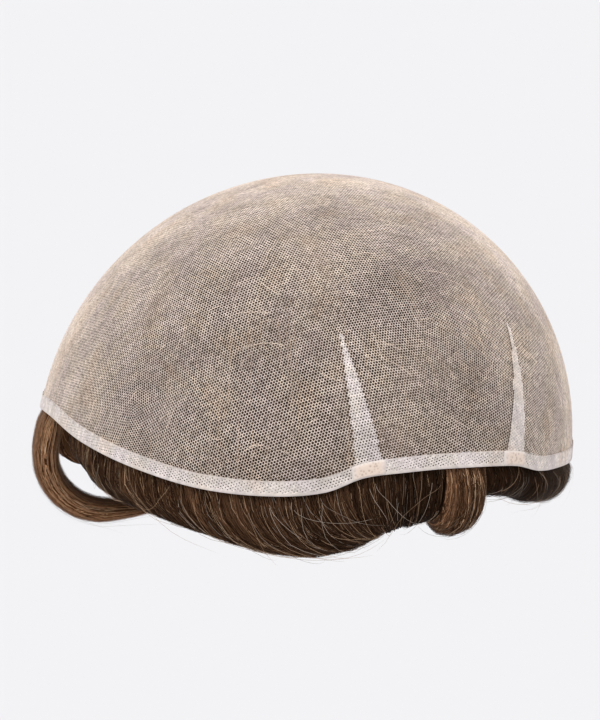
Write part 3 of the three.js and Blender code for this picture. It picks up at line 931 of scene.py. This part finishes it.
def make_cores(flows, material):
    """The dark body of each group of locks, closed at its tips, under its strands."""
    points, faces, tones, flowing = [], [], [], []
    start = 0
    for flow in flows:
        columns = np.arange(flow.columns)
        stations = np.arange(flow.stations) * CORE_LENGTH_SHARE
        column = np.concatenate([columns, columns[::-1]])[None, :]
        side = np.repeat([LOCK_CORE_SHARE, -LOCK_CORE_SHARE], flow.columns)[None, :]
        grid = flow.at(*np.broadcast_arrays(column.astype(float), stations[:, None].astype(float), side))
        tips = grid[-1]
        closed = (tips + tips[::-1]) / 2
        grid = np.concatenate([grid, closed[None]])
        rows, sides, _ = grid.shape
        points.append(grid.reshape(-1, 3))
        faces.append(grid_faces(rows, sides, ring=True) + start)
        start += rows * sides
        # The group's painted light and shade, on the cores' colour
        light = np.minimum(np.concatenate([flow.light, flow.light[::-1]]), 1)
        tones.append(np.array(HAIR_CORE) * np.tile(light, rows)[:, None])
        across = np.broadcast_to(column * LOCK_WIDTH / COLUMNS_PER_LOCK, (rows, sides))
        down = np.broadcast_to(np.arange(rows)[:, None] * HAIR_FALL / LOCK_STATIONS, (rows, sides))
        flowing.append(np.stack([across, down, side + 0 * down], axis=-1).reshape(-1, 3))
    return make_object("lock_cores", np.concatenate(points), np.concatenate(faces), material,
                       tone=np.concatenate(tones), flow=np.concatenate(flowing))


def strand_ribbons(lines, normals, width):
    """Ribbons along lines (strands, points, 3), facing normals, tapered to their ends."""
    count, steps, _ = lines.shape
    across = unit(np.cross(np.gradient(lines, axis=1), normals))
    t = np.linspace(0, 1, steps)
    half = (width[:, None] * np.clip(1.15 - t**4, 0.15, 1) / 2)[..., None]
    points = np.stack([lines - across * half, lines + across * half], axis=2).reshape(-1, 3)
    base = (np.arange(count)[:, None] * steps + np.arange(steps - 1)[None, :]).ravel() * 2
    return points, np.stack([base, base + 1, base + 3, base + 2], axis=1)


def strand_uv(count, steps):
    """Each strand's own upright strip of the colour map."""
    columns = 128
    rows = math.ceil(count / columns)
    k = np.arange(count)
    left = (k % columns + 0.25) / columns
    bottom = (k // columns + 0.05) / rows
    t = np.linspace(0, 0.9, steps) / rows
    u = np.stack([left, left + 0.5 / columns], axis=1)[:, None, :] + np.zeros((count, steps, 2))
    v = bottom[:, None, None] + t[None, :, None] + np.zeros((count, steps, 2))
    return np.stack([u, v], axis=-1).reshape(-1, 2)


def strand_object(name, lines, facing, width, tones, places, material):
    """An object of strands along lines, each with its own shade and its own place on the streaks."""
    count, steps, _ = lines.shape
    points, faces = strand_ribbons(lines, facing, width)
    tones, places = (np.repeat(values, 2 * steps, axis=0) for values in (tones, places))
    return make_object(name, points, faces, material, uv=strand_uv(count, steps), tone=tones,
                       flow=places)


def strand_tones(count, clumps):
    """A shade for each strand, near its clump's: dark to mid brown, a few fair and grey ones."""
    t = np.clip(rng.beta(2.2, 3.6, clumps.max() + 1)[clumps] + rng.normal(0, 0.24, count), 0, 1)
    tones = np.array(HAIR_DARK) * (1 - t[:, None]) + np.array(HAIR_MID) * t[:, None]
    pick = rng.random(count)
    tones[pick < 0.08] = HAIR_FAIR
    tones[pick < 0.012] = HAIR_GREY
    return tones


def make_strands(flows, material):
    """Fine strands over every group of locks, gathered in clumps that tighten to their tips."""
    sizes = np.array([flow.columns * flow.density for flow in flows])
    counts = np.round(STRANDS * sizes / sizes.sum()).astype(int)
    t = np.linspace(0, 1, STRAND_POINTS)
    pieces = []
    for flow, count in zip(flows, counts, strict=True):
        start = rng.uniform(0, flow.columns - 1, count)
        # The group's painted light and shade where each strand starts, on its colour
        light = np.interp(start, np.arange(flow.columns), flow.light)[:, None]
        clump_count = max(4, flow.columns // 3)
        clump_place = np.sort(rng.uniform(0, flow.columns - 1, clump_count))
        clumps = np.argmin(np.abs(start[:, None] - clump_place), axis=1)
        grip = rng.uniform(0.0, CLUMP_GRIP, count)[:, None] * t**1.5
        column = start[:, None] + (clump_place[clumps] - start)[:, None] * grip
        column = column + rng.normal(0, STRAND_DRIFT, count)[:, None] * t
        column = column + rng.normal(0, STRAND_WAVE, count)[:, None] * np.sin(6 * t + start[:, None])
        first = rng.uniform(*STRAND_START, count)
        last = 2 + (LOCK_STATIONS - 1) * rng.uniform(*STRAND_END, count) ** 0.7
        station = first[:, None] + (last - first)[:, None] * t
        outer = rng.random(count) < OUTSIDE_SHARE
        depth = np.where(outer, 1, -1) * rng.uniform(*STRAND_DEPTH, count)
        depth = depth[:, None] + rng.normal(0, DEPTH_DRIFT, count)[:, None] * t
        line = flow.at(column, station, depth)
        beside = flow.at(column + 0.5, station, depth) - flow.at(column - 0.5, station, depth)
        facing = unit(np.cross(np.gradient(line, axis=1), beside) + 1e-9)
        width = STRAND_WIDTH * rng.uniform(0.6, 1.4, count)
        tones = np.minimum(strand_tones(count, clumps) * light, HAIR_FAIR)
        places = rng.random((count, 3))
        name = f"strands_{flow.name}"
        pieces.append(strand_object(name, line, facing, width, tones, places, material))
    return pieces


def make_wisps(material):
    """Short pale hairs that lie on the lace, where they have come through it."""
    axis = whorl_axis()
    starts = unit(rng.normal(0, 1, (6 * WISPS, 3)))
    starts = starts[height_over_rim(starts) > WISP_HEIGHT][:WISPS]
    t = np.linspace(0, 1, STRAND_POINTS)[None, :, None]
    along = unit(np.cross(axis, starts) + rng.normal(0, WISP_TURN, starts.shape))
    beside = np.cross(starts, along)
    length = rng.uniform(*WISP_LENGTH, (len(starts), 1, 1))
    bend = rng.normal(0, WISP_BEND, (len(starts), 1, 1))
    directions = unit(starts[:, None] + along[:, None] * length * (t - 0.5) + beside[:, None] * bend * t**2)
    kept = height_over_rim(directions).min(axis=1) > HEM_WIDTH
    directions = directions[kept]
    offset = WISP_RISE * np.sin(math.pi * t[..., 0]) - WISP_SINK
    lines, normals = on_dome(directions, np.broadcast_to(offset, directions.shape[:2]))
    width = WISP_WIDTH * STRAND_WIDTH * rng.uniform(0.7, 1.3, len(lines))
    tones = np.array(HAIR_PALE) * rng.uniform(0.7, 1.2, len(lines))[:, None]
    return strand_object("lace_wisps", lines, normals, width, tones, np.zeros_like(tones), material)


def make_strays(flows, material):
    """Loose hairs that leave the locks and cross them."""
    weights = np.array([flow.columns for flow in flows], float)
    chosen = rng.choice(len(flows), STRAYS, p=weights / weights.sum())
    low, high = np.array(CAD_BOX)
    t = np.linspace(0, 1, STRAY_POINTS)[:, None]
    lines = []
    for k in chosen:
        flow = flows[k]
        column = rng.uniform(1, flow.columns - 2) + rng.normal(0, 7) * t[:, 0] ** 1.5
        first = rng.uniform(*STRAY_START)
        station = first + rng.uniform(*STRAY_LENGTH) * t[:, 0]
        line = flow.at(column, station, np.full(STRAY_POINTS, rng.uniform(*STRAY_DEPTH)))
        leave = rng.normal(0, STRAY_LEAVE, 3) + np.array([0, 0, -STRAY_DROP])
        sway = rng.normal(0, STRAY_SWAY, 3)
        line = line + leave * t**2.5 + sway * np.sin(5 * t) * t
        lines.append(np.clip(line, low - STRAY_REACH, high + STRAY_REACH))
    lines = np.array(lines)
    facing = unit(lines - MIDDLE)
    width = np.full(STRAYS, STRAY_WIDTH * STRAND_WIDTH)
    tones = np.array([HAIR_FAIR, HAIR_GREY])[rng.integers(0, 2, STRAYS)]
    tones = tones * rng.uniform(0.4, 1.1, STRAYS)[:, None]
    return strand_object("stray_hairs", lines, facing, width, tones, np.zeros_like(tones), material)


def make_bed(material):
    """The hair that lies against the inside of the lace: a shell that is open below."""
    rows, columns = 28, 120
    azimuth = np.linspace(0, 360, columns, endpoint=False)[None, :]
    end = rim_polar(azimuth)
    share = np.linspace(0.004, 1, rows)[:, None]
    outer = dome_point(azimuth, end * share, BED_OUTSIDE)
    inner = dome_point(azimuth, end * share[::-1], BED_INSIDE)
    points = np.concatenate([outer, inner]).reshape(-1, 3)
    faces = grid_faces(2 * rows, columns, ring=True)
    tone = np.repeat([(1.0, 1.0, 1.0), BED_INSIDE_TONE], rows * columns, axis=0)
    return make_object("hair_bed", points, faces[:, ::-1], material, tone=tone, flow=bed_flow(points))


# The scene

def add_sun(name, direction, spread, strength, colour):
    """Even light from a direction, with soft shadows."""
    data = bpy.data.lights.new(name, "SUN")
    data.angle = math.radians(spread)
    data.energy = strength
    data.color = colour
    light = bpy.data.objects.new(name, data)
    light.rotation_euler = Vector(direction).to_track_quat("Z", "Y").to_euler()
    bpy.context.scene.collection.objects.link(light)


def set_stage():
    """Camera, floor, world and lights."""
    scene = bpy.context.scene
    target = MIDDLE + np.array([0, 0, VIEW_TARGET_RISE])
    right, up, back = camera_axes()
    data = bpy.data.cameras.new("camera")
    data.sensor_fit = "VERTICAL"
    data.lens = data.sensor_height * FOCAL_PIXELS / IMAGE_HEIGHT
    data.clip_end = 200
    camera = bpy.data.objects.new("camera", data)
    camera.location = target + VIEW_DISTANCE * back
    camera.rotation_euler = Vector(back).to_track_quat("Z", "Y").to_euler()
    scene.collection.objects.link(camera)
    scene.camera = camera

    floor_material, _, shader = node_material("floor", 0.9, 0.1)
    shader.inputs["Base Color"].default_value = (*FLOOR_COLOUR, 1)
    mesh = bpy.data.meshes.new("floor")
    z = CAD_BOX[0][2] - FLOOR_DROP
    corners = [(x * FLOOR_REACH, y * FLOOR_REACH, z) for x, y in ((-1, -1), (1, -1), (1, 1), (-1, 1))]
    mesh.from_pydata(corners, [], [(0, 1, 2, 3)])
    mesh.materials.append(floor_material)
    floor = bpy.data.objects.new("floor", mesh)
    scene.collection.objects.link(floor)

    world = bpy.data.worlds.new("world")
    world.use_nodes = True
    world.node_tree.nodes["Background"].inputs["Color"].default_value = (*WORLD_COLOUR, 1)
    world.node_tree.nodes["Background"].inputs["Strength"].default_value = 1.0
    scene.world = world
    scene.view_settings.view_transform = "Standard"
    scene.view_settings.look = "None"

    add_sun("key", 1.1 * back - 0.35 * right + 1.2 * up, 40, 1.7, (1.0, 0.98, 0.95))
    add_sun("fill", 0.8 * back + 1.4 * right + 0.5 * up, 70, 0.25, (1.0, 1.0, 1.0))


def main():
    set_stage()
    net = Net()
    sectors, hem, darts = make_lace(net)
    edges = make_hem_edges(hem.data.materials[0])
    skin = patch_material()
    patches = [make_patch(f"patch_{name}", side, skin) for name, side in (("left", 1), ("right", -1))]
    hair = strand_material()
    flows = make_flows()
    cores = make_cores(flows, hair)
    strands = make_strands(flows, hair)
    strays = make_strays(flows, hair)
    wisps = make_wisps(hair)
    bed = make_bed(bed_material())

    for piece, _, _ in sectors:
        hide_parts("lace_cap")
    for piece in (hem, *edges):
        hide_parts("hem_band")
    for (name, dart), patch in zip(darts.items(), patches, strict=True):
        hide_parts(f"dart_{name}")
        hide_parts(f"dart_patch_{name}")
    hairs = (bed, cores, *strands, strays, wisps)
    for piece in hairs:
        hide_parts("hair")
    sewn_on = (hem, *edges, *darts.values(), *patches)
    for piece in (*[sector[0] for sector in sectors], *sewn_on, *hairs):
        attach(piece, "root")


main()
